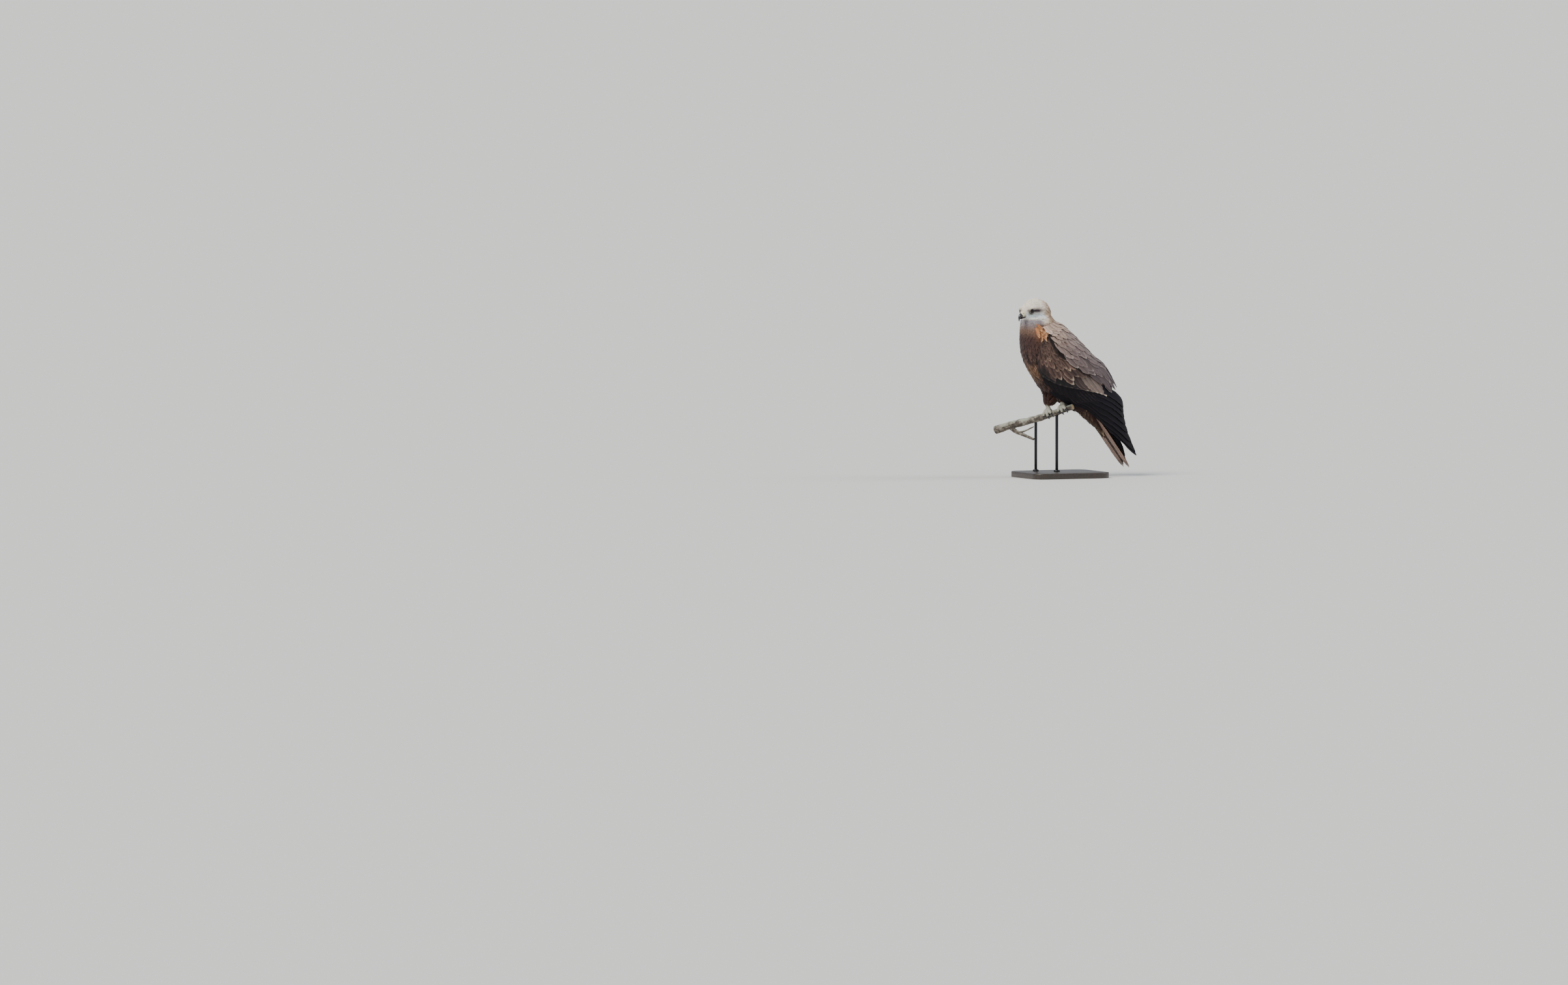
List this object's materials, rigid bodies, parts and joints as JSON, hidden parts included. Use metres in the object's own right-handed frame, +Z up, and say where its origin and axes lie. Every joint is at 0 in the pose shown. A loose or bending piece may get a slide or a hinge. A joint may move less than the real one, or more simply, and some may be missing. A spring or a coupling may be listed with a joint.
{
  "type": "perched kite bird",
  "caption": "Life-size perched kite with folded wings and long forked tail, gripping a short cut branch held over a flat display base by rods.",
  "frame": {"origin": "middle of the flat underside of the stand's base", "axes": "+Z up, the bird's body faces -Y and its left side is +X"},
  "size_m": [0.2564, 0.3565, 0.4984],
  "materials": {
    "crown": "soft short feathers",
    "nape": "soft feathers",
    "breast": "soft streaked feathers",
    "mantle": "smooth feathers with pale edges",
    "covert": "smooth feathers with pale tips",
    "remex": "sleek near-black flight feathers",
    "tail": "sleek flight feathers",
    "vent": "loose soft feathers",
    "thigh": "loose soft feathers",
    "eye": "wet gloss",
    "cere": "waxy skin",
    "bill": "smooth horn",
    "foot": "scaly skin",
    "claw": "smooth horn",
    "bark": "rough weathered bark",
    "base": "dark stained wood, satin",
    "rod": "blackened steel, satin"
  },
  "bodies": {
    "root": {"torso": "breast", "neck": "nape", "head": "crown", "cere": "cere", "bill_upper": "bill", "bill_lower": "bill", "tail": "tail", "undertail": "vent", "eye_left": "eye", "scapulars_left": "mantle", "coverts_left": "covert", "secondaries_left": "remex", "primaries_left": "remex", "thigh_left": "thigh", "shank_left": "foot", "foot_left": "foot", "claw_left_1": "claw", "claw_left_2": "claw", "claw_left_3": "claw", "claw_left_4": "claw", "eye_right": "eye", "scapulars_right": "mantle", "coverts_right": "covert", "secondaries_right": "remex", "primaries_right": "remex", "thigh_right": "thigh", "shank_right": "foot", "foot_right": "foot", "claw_right_1": "claw", "claw_right_2": "claw", "claw_right_3": "claw", "claw_right_4": "claw", "perch_branch": "bark", "perch_twig": "bark", "stand_rod_1": "rod", "stand_rod_2": "rod", "stand_base": "base"}
  },
  "joints": []
}
